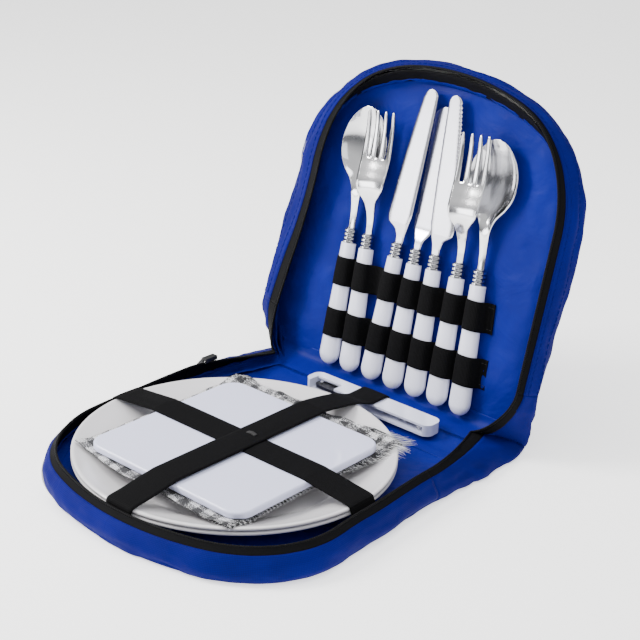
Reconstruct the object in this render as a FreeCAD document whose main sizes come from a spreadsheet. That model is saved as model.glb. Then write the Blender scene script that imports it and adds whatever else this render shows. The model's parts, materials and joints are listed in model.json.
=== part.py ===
import FreeCAD, Part
import Sketcher
import math
import os

# Picnic cutlery set in a zipped clamshell case, standing open on a table.
# The case is a base tray and a lid tray, joined by a spine strip that folds at both its edges.
# World frame: origin on the table under the middle of the base, +Z up, +Y towards the spine.
# Each tray is drawn in its own flat frame: X along the spine, Y from the fold to the round end,
# Z from the middle of the panel towards the inside. Sizes are millimetres.

DIMENSIONS = {
    # trays
    "base_half_width": 113, "base_length": 225, "base_front_corner": 78, "base_front_arc": 180,
    "base_back_corner": 26, "base_zip_inset": 8, "base_tape_inset": 2.5,
    "lid_half_width": 117, "lid_length": 226, "lid_front_corner": 82, "lid_front_arc": 184,
    "lid_back_corner": 30, "lid_zip_inset": 12, "lid_tape_inset": 5,
    "panel_half_thickness": 1.2, "skin": 0.7, "lining": 0.4, "panel_inset": 3.2,
    "panel_back": 2.4,
    "wall": 1.6, "tape": 1.2, "base_tape_height": 10.5, "lid_tape_height": 10.5,
    "base_zip_height": 18.6, "lid_zip_height": 18.2, "teeth_height": 1.5,
    "spine_opening": 86, "wall_foot": 1.2,
    # spine strip and the two folds
    "case_height": 42, "spine_half_width": 84, "spine_outer": 1.2, "spine_inner": 0.3,
    "spine_end_gap": 1.6, "spine_tilt": 12.7, "lid_tilt": 76.8,
    # zip slider
    "slider_length": 11, "slider_place": 31, "slider_gap": 0.35, "slider_side": 1.2,
    "slider_skirt": 1.3, "slider_roof": 1.3, "pull_length": 17, "pull_half_width": 3.25,
    "pull_corner": 2.4, "pull_thickness": 1.0, "pull_slope": 50, "pull_clearance": 1.2,
    # plates
    "plate_radius": 101, "plate_foot_outer": 66, "plate_foot_inner": 63, "plate_foot": 1.2,
    "plate_well_radius": 70, "plate_wall": 1.6, "plate_rim_radius": 97, "plate_rim_height": 13.4,
    "plate_lip": 1.0, "plate_bevel": 0.7, "plate_edge_drop": 0.5, "plate_floor": 2.6,
    "plate_stack": 3.0,
    # napkins and board
    "napkin_half": 66, "napkin_thickness": 0.9, "napkin_bottom": 17.6, "napkin_pitch": 1.0,
    "napkin_corner": 12, "board_half": 65, "board_thickness": 5, "board_corner": 12,
    "board_edge": 1.6, "board_bottom": 19.7, "board_shift_x": 3, "board_shift_y": -3,
    # straps
    "strap_width": 21, "strap_thickness": 0.8, "strap_low": 25.0, "strap_high": 26.1,
    "strap_shift": 6,
    # loops that hold the cutlery
    "loop_band": 20, "loop_lower": 24, "loop_upper": 61, "loop_thickness": 0.8,
    "loop_front": 12.9, "loop_left": -61, "loop_right": 76.5, "loop_room": 1.1,
    # cutlery
    "handle_length": 88, "handle_end_half": 8.3, "handle_neck_half": 6,
    "handle_thickness": 9.4, "handle_round": 3.6, "handle_end_round": 7.9,
    "ferrule_length": 10, "ferrule_radius": 4.5,
    "rib_reach": 0.7, "rib_thickness": 0.9, "steel": 1.5,
    "bowl_half_width": 19, "bowl_half_length": 28, "bowl_depth": 7.4, "bowl_steel": 1.2,
    "bowl_middle": 156, "bowl_rim": 2.6,
    "tine_width": 2.6, "fork_half_width": 10.9, "tine_root": 152, "tine_tip": 182,
    # corkscrew
    "screw_half_length": 54, "screw_width": 16, "screw_thickness": 8, "screw_bottom": 6.7,
    "screw_front": 115.5, "screw_channel": 5.0, "screw_cheek": 1.5, "screw_channel_depth": 12,
    "screw_nose": 6, "screw_shift": 9, "screw_web": 5, "screw_window": 22,
    "screw_window_depth": 9, "screw_pivot_depth": 6, "pivot_reach": 43,
    "lever_length": 34, "lever_half_width": 4, "lever_tip_radius": 3.4, "lever_thickness": 2.0,
    "opener_radius": 2.6, "opener_place": 12,
    "worm_length": 35, "worm_shank": 7, "worm_radius": 1.5, "worm_wire": 0.7, "worm_pitch": 6,
    "worm_eye": 2.3, "worm_eye_height": 3.0, "shank_radius": 0.9,
    "pin_radius": 1.3, "pin_gap": 0.05,
}

# The seven pieces of cutlery from left to right: the name, the kind, where the handle's end sits
# across the lid and above the fold, the depth of the handle's middle and the lean to the left.
CUTLERY = [
    ("spoon_left", "spoon", -49.3, 3.2, 6.6, 1.9),
    ("fork_left", "fork", -30.4, 3.0, 6.6, 3.9),
    ("knife_left", "knife_left", -11.4, 3.4, 6.6, 1.2),
    ("spreader", "spreader", 8.0, 3.0, 6.6, 1.7),
    ("knife_right", "knife_right", 27.2, 3.4, 6.6, 3.6),
    ("fork_right", "fork", 46.0, 3.2, 6.6, 3.2),
    ("spoon_right", "spoon", 65.2, 3.0, 6.6, 4.4),
]

# Chains of points along the underside of the two elastic straps, across and along the case, as
# distance from the middle and height. Each end dips between the plates and the zip tape.
STRAP_END = [(-104.6, 13.5), (-101.9, 19.6), (-100.6, 21.4)]
STRAP_FRONT = [(-105.0, 13.5), (-101.15, 17.8), (-101.15, 19.9), (-100.2, 21.4)]
STRAP_BACK = [(101.4, 21.0), (115.0, 15.3), (132.0, 15.3), (133.6, 13.2), (134.2, 7.9)]
STRAP_FLAT = 68

# Outlines of the heads in plan and their side profiles, measured from the handle's end.
KNIFE_OUTLINE = [(-2.4, 98), (-2.8, 103), (-5.5, 108.5), (-11.3, 111.5), (-12.2, 116),
                 (-10.6, 138), (-8.4, 160), (-5.2, 184), (-1.2, 200.5), (1.8, 204.5),
                 (5.4, 203.5), (7.6, 199), (8.2, 188), (7.9, 150), (7.2, 118), (4.2, 104),
                 (3.4, 98)]
SPREADER_OUTLINE = [(-2.4, 98), (-3.4, 104), (-8.2, 112), (-8.6, 118), (-8.6, 180),
                    (-7.0, 189), (-3.6, 194), (0, 195.2), (3.6, 194), (7.0, 189),
                    (8.6, 180), (8.6, 118), (8.2, 112), (3.4, 104), (2.4, 98)]
FORK_SHOULDER = [(2.4, 98), (2.8, 106), (3.6, 116), (5.6, 122), (9.4, 128), (10.6, 136),
                 (10.9, 150)]
SPOON_NECK = [(-2.4, 98), (-2.6, 108), (-3.6, 122), (-5.5, 131)]
KNIFE_BEND = [(98, -0.8), (104, -0.6), (112, 0.4), (206, 0.8)]
SPREADER_BEND = [(98, -0.8), (104, -1.4), (112, -4.2), (200, -4.4)]
FORK_BEND = [(98, -0.8), (108, -0.2), (120, 2.6), (130, 3.2), (150, 3.0), (170, 3.2), (184, 4.4)]
SPOON_BEND = [(98, -0.8), (108, -0.6), (122, 0.5), (131, 1.0)]

doc = FreeCAD.newDocument("picnic_cutlery")
sheet = doc.addObject("Spreadsheet::Sheet", "Dims")
for row, (alias, value) in enumerate(DIMENSIONS.items(), start=1):
    sheet.set(f"A{row}", alias)
    sheet.set(f"B{row}", str(value))
    sheet.setAlias(f"B{row}", alias)
doc.recompute()

V = FreeCAD.Vector
X_AXIS = V(1, 0, 0)
Y_AXIS = V(0, 1, 0)
Z_AXIS = V(0, 0, 1)
parts = []


def size(words):
    """Value of a sum of cells and numbers, such as 'base_length - wall + 2'."""
    total = 0.0
    sign = 1
    for word in words.split():
        if word in "+-":
            sign = 1 if word == "+" else -1
        else:
            total += sign * (DIMENSIONS[word] if word in DIMENSIONS else float(word))
            sign = 1
    return total


def cells(words):
    """The same sum as an expression on the sheet."""
    return " ".join(f"Dims.{word}" if word in DIMENSIONS else word for word in words.split())


def bind(item, field, words):
    item.setExpression(field, cells(words))


# ---------------------------------------------------------------- frames

def base_frame():
    """Flat frame of the base tray: its fold is at the back, its round end at the front."""
    fold = V(0, size("base_length") / 2, size("panel_half_thickness"))
    return FreeCAD.Placement(fold, FreeCAD.Rotation(Z_AXIS, 180))


def spine_frame():
    """Frame of the spine strip: Y runs from the base fold up to the lid fold."""
    fold = V(0, size("base_length") / 2, size("panel_half_thickness"))
    return FreeCAD.Placement(fold, FreeCAD.Rotation(X_AXIS, size("spine_tilt")))


def spine_length():
    return size("case_height - panel_half_thickness - panel_half_thickness")


def lid_frame():
    """Flat frame of the lid tray, which stands up from the end of the spine strip."""
    fold = spine_frame().multVec(V(0, spine_length(), 0))
    return FreeCAD.Placement(fold, FreeCAD.Rotation(X_AXIS, size("lid_tilt")))


# ---------------------------------------------------------------- document helpers

def body(label, placement=FreeCAD.Placement()):
    item = doc.addObject("PartDesign::Body", label)
    item.Label = label
    item.Placement = placement
    parts.append(item)
    return item


def feature(label, shape, placement=FreeCAD.Placement()):
    item = doc.addObject("Part::Feature", label)
    item.Label = label
    item.Shape = shape
    item.Placement = placement
    parts.append(item)
    return item


def sketch(owner, name, plane="XY_Plane", height=None):
    """Sketch on one of the body's own origin planes, lifted by a height bound to the sheet."""
    item = owner.newObject("Sketcher::SketchObject", name)
    item.AttachmentSupport = [(next(o for o in owner.Origin.OriginFeatures if o.Role == plane), "")]
    item.MapMode = "FlatFace"
    if height:
        item.AttachmentOffset = FreeCAD.Placement(V(0, 0, size(height)), FreeCAD.Rotation())
        bind(item, "AttachmentOffset.Base.z", height)
    return item


def fix(item, kind, words, *where):
    """Dimension constraint on a sketch, driven by the sheet."""
    index = item.addConstraint(Sketcher.Constraint(kind, *where, size(words)))
    bind(item, f"Constraints[{index}]", words)


def relate(item, kind, *where):
    item.addConstraint(Sketcher.Constraint(kind, *where))


def polygon(item, points, centre=False):
    """Closed chain of straight edges through points."""
    count = len(points)
    for number, point in enumerate(points):
        after = points[(number + 1) % count]
        item.addGeometry(Part.LineSegment(V(*point, 0), V(*after, 0)))
    for number in range(count):
        relate(item, "Coincident", number, 2, (number + 1) % count, 1)


def rectangle(item, left, right, low, high):
    """Rectangle whose sides are bound to the sheet."""
    polygon(item, [(size(left), size(low)), (size(right), size(low)),
                   (size(right), size(high)), (size(left), size(high))])
    for number in (0, 2):
        relate(item, "Horizontal", number)
    for number in (1, 3):
        relate(item, "Vertical", number)
    fix(item, "DistanceX", left, -1, 1, 0, 1)
    fix(item, "DistanceX", right, -1, 1, 0, 2)
    fix(item, "DistanceY", low, -1, 1, 0, 1)
    fix(item, "DistanceY", high, -1, 1, 2, 1)


def pad(owner, name, profile, length, midplane=False, reverse=False):
    item = owner.newObject("PartDesign::Pad", name)
    item.Profile = profile
    bind(item, "Length", length)
    item.Midplane = midplane
    item.Reversed = reverse
    return item


def pocket(owner, name, profile, length, midplane=False, reverse=False):
    """Pocket that has to take material away."""
    doc.recompute()
    before = owner.Shape.Volume
    item = owner.newObject("PartDesign::Pocket", name)
    item.Profile = profile
    bind(item, "Length", length)
    item.Midplane = midplane
    item.Reversed = reverse
    doc.recompute()
    if owner.Shape.Volume > before - 0.01:
        raise RuntimeError(f"{name} cuts nothing")
    return item


def fillet(owner, name, edges, radius):
    doc.recompute()
    base = owner.Tip
    item = owner.newObject("PartDesign::Fillet", name)
    item.Base = (base, edges)
    bind(item, "Radius", radius)
    owner.Tip = item
    return item


def edges_of(owner, wanted):
    """Names of the body's edges that a test picks out."""
    doc.recompute()
    shape = owner.Tip.Shape
    return [f"Edge{n}" for n, edge in enumerate(shape.Edges, start=1) if wanted(edge)]


def upright(edge):
    return abs(edge.tangentAt(edge.FirstParameter).z) > 0.9


# ---------------------------------------------------------------- trays

def outline(item, tray, inset, back):
    """Tray outline in plan: straight back and sides, round back corners and a three-arc front."""
    half = size(f"{tray}_half_width - {inset}")
    length = size(f"{tray}_length - {inset}")
    corner = size(f"{tray}_front_corner - {inset}")
    arc = size(f"{tray}_front_arc - {inset}")
    rear = size(f"{tray}_back_corner - {inset}")
    low = size(back)
    turn = math.asin((half - corner) / (arc - corner))
    side = length - arc + (arc - corner) * math.cos(turn)
    right = math.pi / 2 - turn

    def curve(x, y, radius, start, end):
        return Part.ArcOfCircle(Part.Circle(V(x, y, 0), Z_AXIS, radius), start, end)

    item.addGeometry([
        Part.LineSegment(V(rear - half, low, 0), V(half - rear, low, 0)),
        curve(half - rear, low + rear, rear, -math.pi / 2, 0),
        Part.LineSegment(V(half, low + rear, 0), V(half, side, 0)),
        curve(half - corner, side, corner, 0, right),
        curve(0, length - arc, arc, right, math.pi - right),
        curve(corner - half, side, corner, math.pi - right, math.pi),
        Part.LineSegment(V(-half, side, 0), V(-half, low + rear, 0)),
        curve(rear - half, low + rear, rear, math.pi, 1.5 * math.pi),
    ])
    for number in range(8):
        relate(item, "Tangent", number, 2, (number + 1) % 8, 1)
    relate(item, "Vertical", 2)
    relate(item, "Vertical", 6)
    relate(item, "Symmetric", 0, 1, 0, 2, -2)
    relate(item, "PointOnObject", 4, 3, -2)
    relate(item, "Equal", 1, 7)
    relate(item, "Equal", 3, 5)
    fix(item, "DistanceY", back, -1, 1, 0, 1)
    fix(item, "Radius", f"{tray}_back_corner - {inset}", 1)
    fix(item, "Radius", f"{tray}_front_corner - {inset}", 3)
    fix(item, "Radius", f"{tray}_front_arc - {inset}", 4)
    fix(item, "DistanceX", f"{tray}_half_width - {inset}", -1, 1, 2, 1)
    fix(item, "DistanceY", f"{tray}_length - {tray}_front_arc", -1, 1, 4, 3)


def panel(label, tray, placement, low, thickness):
    """Flat layer of a tray's panel."""
    owner = body(label, placement)
    profile = sketch(owner, f"{label}_outline", height=low)
    outline(profile, tray, "panel_inset", "panel_back")
    pad(owner, f"{label}_layer", profile, thickness)


def loft(owner, name, kind, sections):
    item = owner.newObject(f"PartDesign::{kind}", name)
    item.Profile = sections[0]
    item.Sections = sections[1:]
    item.Ruled = True
    return item


def wall(label, tray, placement, low, low_inset, high, high_inset, thickness):
    """Band of the side wall that leans in from low to high, open where the spine is."""
    owner = body(label, placement)
    outer = []
    inner = []
    for place, height, inset in (("low", low, low_inset), ("high", high, high_inset)):
        ring = sketch(owner, f"{label}_{place}_outside", height=height)
        outline(ring, tray, inset, "0")
        outer.append(ring)
    loft(owner, f"{label}_outside", "AdditiveLoft", outer)
    for place, height, inset in (("low", low, low_inset), ("high", high, high_inset)):
        ring = sketch(owner, f"{label}_{place}_inside", height=height)
        outline(ring, tray, f"{inset} - {thickness}", thickness)
        inner.append(ring)
    loft(owner, f"{label}_inside", "SubtractiveLoft", inner)
    slot = sketch(owner, f"{label}_spine_gap", height=low)
    rectangle(slot, "0 - spine_opening", "spine_opening", "-1", "6")
    pocket(owner, f"{label}_opening", slot, "case_height", reverse=True)


def tray(name, placement):
    """Panel layers, side wall and zip half of one tray."""
    panel(f"{name}_outer_panel", name, placement, "0 - panel_half_thickness", "skin")
    panel(f"{name}_stiffener", name, placement, "skin - panel_half_thickness",
          "panel_half_thickness + panel_half_thickness - skin - lining")
    panel(f"{name}_lining", name, placement, "panel_half_thickness - lining", "lining")
    wall(f"{name}_side_wall", name, placement, "0 - wall_foot", "0",
         f"{name}_tape_height", f"{name}_tape_inset", "wall")
    wall(f"{name}_zip_tape", name, placement, f"{name}_tape_height", f"{name}_tape_inset",
         f"{name}_zip_height - teeth_height", f"{name}_zip_inset", "tape")
    wall(f"{name}_zip_teeth", name, placement, f"{name}_zip_height - teeth_height",
         f"{name}_zip_inset", f"{name}_zip_height", f"{name}_zip_inset", "wall")


def spine():
    """Strip between the two trays: a padded outer layer and its lining."""
    for label, low, thickness in (("spine_panel", "0 - spine_outer", "spine_outer + spine_inner"),
                                  ("spine_lining", "spine_inner", "lining")):
        owner = body(label, spine_frame())
        profile = sketch(owner, f"{label}_outline", height=low)
        rectangle(profile, "0 - spine_half_width", "spine_half_width", "spine_end_gap",
                  "case_height - panel_half_thickness - panel_half_thickness - spine_end_gap")
        pad(owner, f"{label}_layer", profile, thickness)


def zip_slider():
    """Slider that straddles the base half of the zip on the left side."""
    owner = body("zip_slider", base_frame())
    edge = "base_half_width - base_zip_inset"
    outer = f"{edge} + slider_gap"
    inner = f"{edge} - wall - slider_gap"
    skirt = "base_zip_height - slider_skirt"
    roof = "base_zip_height + slider_gap"
    profile = sketch(owner, "slider_section", plane="XZ_Plane", height="0 - slider_place")
    stations(profile, [(f"{outer} + slider_side", skirt), (outer, skirt), (outer, roof),
                       (inner, roof), (inner, skirt), (f"{inner} - slider_side", skirt),
                       (f"{inner} - slider_side", f"{roof} + slider_roof"),
                       (f"{outer} + slider_side", f"{roof} + slider_roof")])
    pad(owner, "slider_block", profile, "slider_length", midplane=True)


def pull_frame():
    """Hinge line of the pull, on the outside of the slider, tilted to lie along the tape."""
    outside = size("base_half_width - base_zip_inset + slider_gap + slider_side + pull_clearance")
    here = base_frame().multVec(V(outside, size("slider_place"), size("base_zip_height")))
    return FreeCAD.Placement(here, FreeCAD.Rotation(Y_AXIS, 180 - size("pull_slope")))


def zip_pull():
    owner = body("zip_pull", pull_frame())
    profile = sketch(owner, "pull_outline")
    rectangle(profile, "0", "pull_length", "0 - pull_half_width", "pull_half_width")
    pad(owner, "pull_plate", profile, "pull_thickness", midplane=True)
    fillet(owner, "pull_corners",
           edges_of(owner, upright), "pull_corner")


# ---------------------------------------------------------------- contents of the base

def stations(item, points):
    """Closed outline whose every corner is bound to the sheet."""
    polygon(item, [(size(x), size(y)) for x, y in points])
    for number, (x, y) in enumerate(points):
        if size(x) == 0:
            relate(item, "PointOnObject", number, 1, -2)
        else:
            fix(item, "DistanceX", x, -1, 1, number, 1)
        if size(y) == 0:
            relate(item, "PointOnObject", number, 1, -1)
        else:
            fix(item, "DistanceY", y, -1, 1, number, 1)


def plate(label, level):
    """Dinner plate with a foot ring, a flat well and a wide sloping rim."""
    floor = size("plate_floor") + level * size("plate_stack")
    owner = body(label, FreeCAD.Placement(V(0, 0, floor), FreeCAD.Rotation()))
    section = sketch(owner, f"{label}_section", plane="XZ_Plane")
    stations(section, [
        ("0", "plate_foot"), ("plate_foot_inner", "plate_foot"), ("plate_foot_inner", "0"),
        ("plate_foot_outer", "0"), ("plate_foot_outer", "plate_foot"),
        ("plate_well_radius", "plate_foot"),
        ("plate_rim_radius", "plate_rim_height - plate_wall"),
        ("plate_radius", "plate_rim_height - plate_wall + plate_lip"),
        ("plate_radius", "plate_rim_height + plate_lip - plate_edge_drop"),
        ("plate_radius - plate_bevel", "plate_rim_height + plate_lip"),
        ("plate_rim_radius", "plate_rim_height"),
        ("plate_well_radius", "plate_foot + plate_wall"),
        ("0", "plate_foot + plate_wall"),
    ])
    turn = owner.newObject("PartDesign::Revolution", f"{label}_turned")
    turn.Profile = section
    turn.ReferenceAxis = (section, ["V_Axis"])
    turn.Angle = 360


def square_sheet(label, half, corner, thickness, bottom, shift=V(0, 0, 0)):
    """Square slab with round corners, such as the board or a folded napkin."""
    owner = body(label, FreeCAD.Placement(shift + V(0, 0, size(bottom)), FreeCAD.Rotation()))
    profile = sketch(owner, f"{label}_outline")
    rectangle(profile, f"0 - {half}", half, f"0 - {half}", half)
    pad(owner, f"{label}_slab", profile, thickness)
    fillet(owner, f"{label}_corners", edges_of(owner, upright), corner)
    return owner


def board():
    shift = V(size("board_shift_x"), size("board_shift_y"), 0)
    owner = square_sheet("cutting_board", "board_half", "board_corner", "board_thickness",
                         "board_bottom", shift)
    fillet(owner, "cutting_board_rim", edges_of(owner, lambda e: not upright(e)), "board_edge")


def mirrored(points):
    """The same points across the Y axis, in the opposite order."""
    return [(-x, y) for x, y in points[::-1]]


def band(points, thickness):
    """Closed strip section of constant thickness on the left of a chain of points."""
    offset = []
    for number, point in enumerate(points):
        before = points[max(number - 1, 0)]
        after = points[min(number + 1, len(points) - 1)]
        first = V(point[0] - before[0], point[1] - before[1], 0) if number else None
        second = V(after[0] - point[0], after[1] - point[1], 0) if after != point else None
        runs = [run.normalize() for run in (first, second) if run is not None]
        normal = sum((V(-run.y, run.x, 0) for run in runs), V(0, 0, 0)).normalize()
        reach = thickness / max(normal.dot(V(-runs[0].y, runs[0].x, 0)), 0.3)
        offset.append((point[0] + normal.x * reach, point[1] + normal.y * reach))
    return list(points) + offset[::-1]


def strap(label, points, placement):
    """Elastic strap: a section in the vertical plane, as wide as the webbing."""
    width = size("strap_width")
    section = band(points, size("strap_thickness"))
    wire = Part.makePolygon([V(x, y, -width / 2) for x, y in section + section[:1]])
    feature(label, Part.Face(wire).extrude(V(0, 0, width)), placement)


def straps():
    """Two straps that cross over the board, sewn to the tray's wall and to the spine."""
    standing = FreeCAD.Rotation(X_AXIS, 90)
    half_across = STRAP_END + [(-STRAP_FLAT, size("strap_low"))]
    strap("strap_across", half_across + mirrored(half_across),
          FreeCAD.Placement(V(0, 0, 0), standing))
    high = size("strap_high")
    along = STRAP_FRONT + [(-STRAP_FLAT, high), (STRAP_FLAT, high)] + STRAP_BACK
    turned = FreeCAD.Rotation(Z_AXIS, 90).multiply(standing)
    strap("strap_along", along, FreeCAD.Placement(V(size("strap_shift"), 0, 0), turned))


# ---------------------------------------------------------------- corkscrew

def corkscrew():
    """Folding corkscrew that lies on its cheek on the spine strip, its channel to the front."""
    middle = size("screw_shift")
    front = size("screw_front")
    bottom = size("screw_bottom")
    owner = body("corkscrew_body", FreeCAD.Placement(V(middle, front, bottom), FreeCAD.Rotation()))
    profile = sketch(owner, "screw_outline")
    left = "0 - screw_half_length"
    rectangle(profile, left, "screw_half_length", "0", "screw_width")
    pad(owner, "screw_block", profile, "screw_thickness")
    fillet(owner, "screw_nose_round", edges_of(owner, upright), "screw_nose")
    channel = sketch(owner, "screw_channel_outline", height="screw_cheek")
    rectangle(channel, f"{left} + screw_web", "screw_half_length - screw_web", "-1",
              "screw_channel_depth")
    pocket(owner, "screw_channel_cut", channel, "screw_channel", reverse=True)
    window = sketch(owner, "screw_window_outline", height="screw_cheek + screw_channel - 1")
    rectangle(window, f"{left} + screw_web", f"{left} + screw_web + screw_window", "-1",
              "screw_window_depth")
    pocket(owner, "screw_window_cut", window, "screw_thickness", reverse=True)
    floor = bottom + size("screw_cheek")
    pivot_y = front + size("screw_pivot_depth")
    bore = size("pin_radius + pin_gap")
    reach = size("pivot_reach")
    for label, x in (("lever_pin", middle - reach), ("worm_pin", middle + reach)):
        pin = Part.makeCylinder(size("pin_radius"), size("screw_channel"),
                                V(x, pivot_y, floor), Z_AXIS)
        feature(label, pin)
    height = floor + size("screw_channel") / 2
    lever(V(middle - reach, pivot_y, height), bore)
    worm(V(middle + reach, pivot_y, height), bore)


def lever(pivot, bore):
    """Steel lever with a bottle-opener mouth near its tip."""
    thick = size("lever_thickness")
    half = size("lever_half_width")
    straight = size("lever_length - lever_half_width")
    blank = Part.makeBox(straight, 2 * half, thick, V(0, -half, -thick / 2))
    blank = blank.fuse(Part.makeCylinder(half, thick, V(0, 0, -thick / 2)))
    tip = size("lever_tip_radius")
    blank = blank.fuse(Part.makeCylinder(tip, thick, V(straight, 0.2, -thick / 2)))
    mouth = Part.makeCylinder(size("opener_radius"), 4 * thick,
                              V(size("lever_length - opener_place"), -half, -2 * thick))
    hole = Part.makeCylinder(bore, 4 * thick, V(0, 0, -2 * thick))
    feature("corkscrew_lever", blank.cut(mouth).cut(hole).removeSplitter(),
            FreeCAD.Placement(pivot, FreeCAD.Rotation()))


def worm(pivot, bore):
    """Steel screw: an eye round the pin, a shank and a helix that ends in a point."""
    radius = size("worm_radius")
    shank = size("worm_shank")
    tall = size("worm_eye_height")
    rod = size("shank_radius")
    eye = Part.makeCylinder(size("worm_eye"), tall, V(0, 0, -tall / 2))
    eye = eye.cut(Part.makeCylinder(bore, 2 * tall, V(0, 0, -tall)))
    stem = Part.makeCylinder(rod, shank, V(-2 * rod, 0, 0), V(-1, 0, 0))
    turns = Part.makeHelix(size("worm_pitch"), size("worm_length - worm_shank - 3"), radius)
    circle = Part.Wire(Part.makeCircle(size("worm_wire"), V(radius, 0, 0), Y_AXIS))
    coil = Part.Wire(turns).makePipeShell([circle], True, True)
    coil.Placement = FreeCAD.Placement(V(-shank, 0, 0), FreeCAD.Rotation(Y_AXIS, -90))
    elbow = Part.makeCylinder(rod, radius + 0.6, V(-shank - rod, 0, 0), Z_AXIS)
    feature("corkscrew_worm", eye.fuse([stem, elbow, coil]),
            FreeCAD.Placement(pivot, FreeCAD.Rotation()))


# ---------------------------------------------------------------- cutlery

def cutlery_frame(across, up, depth, lean):
    """Frame of one piece of cutlery: Y from the handle's end towards the head."""
    place = FreeCAD.Placement(V(across, up, depth), FreeCAD.Rotation(Z_AXIS, lean))
    return lid_frame().multiply(place)


def handle(name, frame):
    """White moulded handle, wider and rounder at its end."""
    owner = body(f"{name}_handle", frame)
    profile = sketch(owner, f"{name}_handle_outline")
    stations(profile, [("0 - handle_end_half", "0"), ("handle_end_half", "0"),
                       ("handle_neck_half", "handle_length"),
                       ("0 - handle_neck_half", "handle_length")])
    pad(owner, f"{name}_handle_blank", profile, "handle_thickness", midplane=True)

    def end_corner(edge):
        return upright(edge) and edge.CenterOfMass.y < 1

    def rim(edge):
        return not upright(edge) and edge.CenterOfMass.y < size("handle_length") - 0.5

    fillet(owner, f"{name}_handle_end", edges_of(owner, end_corner), "handle_end_round")
    fillet(owner, f"{name}_handle_rim", edges_of(owner, rim), "handle_round")


def ferrule(name, frame):
    """Ribbed metal collar between the handle and the head."""
    start = size("handle_length")
    length = size("ferrule_length")
    core = Part.makeCylinder(size("ferrule_radius"), length, V(0, start, 0), Y_AXIS)
    thick = size("rib_thickness")
    middle = size("ferrule_radius + rib_reach - rib_thickness")
    ribs = 4
    for number in range(ribs):
        along = start + length * (number + 0.5) / ribs
        core = core.fuse(Part.makeTorus(middle, thick, V(0, along, 0), Y_AXIS))
    feature(f"{name}_ferrule", core, frame)


def bent_plate(outline_points, bend, width=60):
    """Sheet-steel shape: a front outline pressed to a side profile of constant thickness."""
    front = Part.Face(Part.makePolygon([V(x, y, -20) for x, y in
                                        outline_points + outline_points[:1]]))
    block = front.extrude(V(0, 0, 40))
    profile = band(bend, size("steel"))
    side = Part.Face(Part.makePolygon([V(-width / 2, y, z) for y, z in profile + profile[:1]]))
    return block.common(side.extrude(V(width, 0, 0))).removeSplitter()


def fork_outline():
    """Neck, shoulders and four tines."""
    tine = size("tine_width")
    edge = size("fork_half_width")
    root = size("tine_root")
    tip = size("tine_tip")
    tines = 4
    gap = (2 * edge - tines * tine) / (tines - 1)
    points = list(FORK_SHOULDER)
    for number in range(tines):
        right = edge - number * (tine + gap)
        middle = right - tine / 2
        points += [(right, root), (middle + 0.6, tip), (middle - 0.6, tip), (right - tine, root)]
    return points + mirrored(FORK_SHOULDER)


def spoon_head():
    """Oval bowl, open towards the inside of the lid, on a tapering neck."""
    middle = size("bowl_middle")
    rim = size("bowl_rim")
    steel = size("bowl_steel")

    def egg(shrink):
        stretch = FreeCAD.Matrix()
        stretch.scale(size("bowl_half_width") - shrink, size("bowl_half_length") - shrink,
                      size("bowl_depth") - shrink)
        shape = Part.makeSphere(1).transformGeometry(stretch)
        shape.translate(V(0, middle, rim))
        return shape

    below = Part.makeBox(60, 80, 20, V(-30, middle - 40, rim - 20))
    bowl = egg(0).cut(egg(steel)).common(below)
    neck = bent_plate(mirrored(SPOON_NECK) + SPOON_NECK, SPOON_BEND).cut(egg(steel))
    return bowl.fuse(neck).removeSplitter()


def cutlery():
    shapes = {
        "spoon": spoon_head(),
        "fork": bent_plate(fork_outline(), FORK_BEND),
        "knife_left": bent_plate(KNIFE_OUTLINE, KNIFE_BEND),
        "knife_right": bent_plate(mirrored(KNIFE_OUTLINE), KNIFE_BEND),
        "spreader": bent_plate(SPREADER_OUTLINE, SPREADER_BEND),
    }
    for name, kind, across, up, depth, lean in CUTLERY:
        frame = cutlery_frame(across, up, depth, lean)
        handle(name, frame)
        ferrule(name, frame)
        feature(f"{name}_head", shapes[kind].copy(), frame)


def loop_row(label, low):
    """Elastic band sewn to the lid between the handles, so that it holds each in a loop."""
    band_width = size("loop_band")
    lining = size("panel_half_thickness")
    front = size("loop_front")
    left = size("loop_left")
    block = Part.makeBox(size("loop_right") - left, band_width, front - lining,
                         V(left, low, lining))
    for name, kind, across, up, depth, lean in CUTLERY:
        middle = low + band_width / 2 - up
        share = middle / size("handle_length")
        half = size("handle_end_half") * (1 - share) + size("handle_neck_half") * share
        room = half + size("loop_room")
        centre = across - middle * math.tan(math.radians(lean))
        hole = Part.makeBox(2 * room, 3 * band_width, front - size("loop_thickness") - lining,
                            V(centre - room, low - band_width, lining))
        block = block.cut(hole)
    feature(label, block, lid_frame())


# ---------------------------------------------------------------- the set

def main():
    tray("base", base_frame())
    spine()
    tray("lid", lid_frame())
    zip_slider()
    zip_pull()
    plate("plate_lower", 0)
    plate("plate_upper", 1)
    for label, bottom in (("napkin_lower", "napkin_bottom"),
                          ("napkin_upper", "napkin_bottom + napkin_pitch")):
        square_sheet(label, "napkin_half", "napkin_corner", "napkin_thickness", bottom)
    board()
    straps()
    corkscrew()
    cutlery()
    loop_row("loop_row_lower", size("loop_lower"))
    loop_row("loop_row_upper", size("loop_upper"))


def check_and_export():
    """Stop on anything that failed to build, then write each sub-part as STEP."""
    doc.recompute()
    bad = [item.Label for item in doc.Objects
           if any(word in item.State for word in ("Invalid", "Error"))]
    bad += [item.Label for item in parts if item.Shape.isNull() or not item.Shape.isValid()]
    if bad:
        raise RuntimeError("not built: " + ", ".join(bad))
    os.makedirs("parts", exist_ok=True)
    for item in parts:
        item.Shape.exportStep(f"parts/{item.Label}.step")
    print(len(parts), "sub-parts written")


main()
check_and_export()
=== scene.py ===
import json
import math

import bmesh
import bpy
from mathutils import Matrix, Vector, noise


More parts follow.
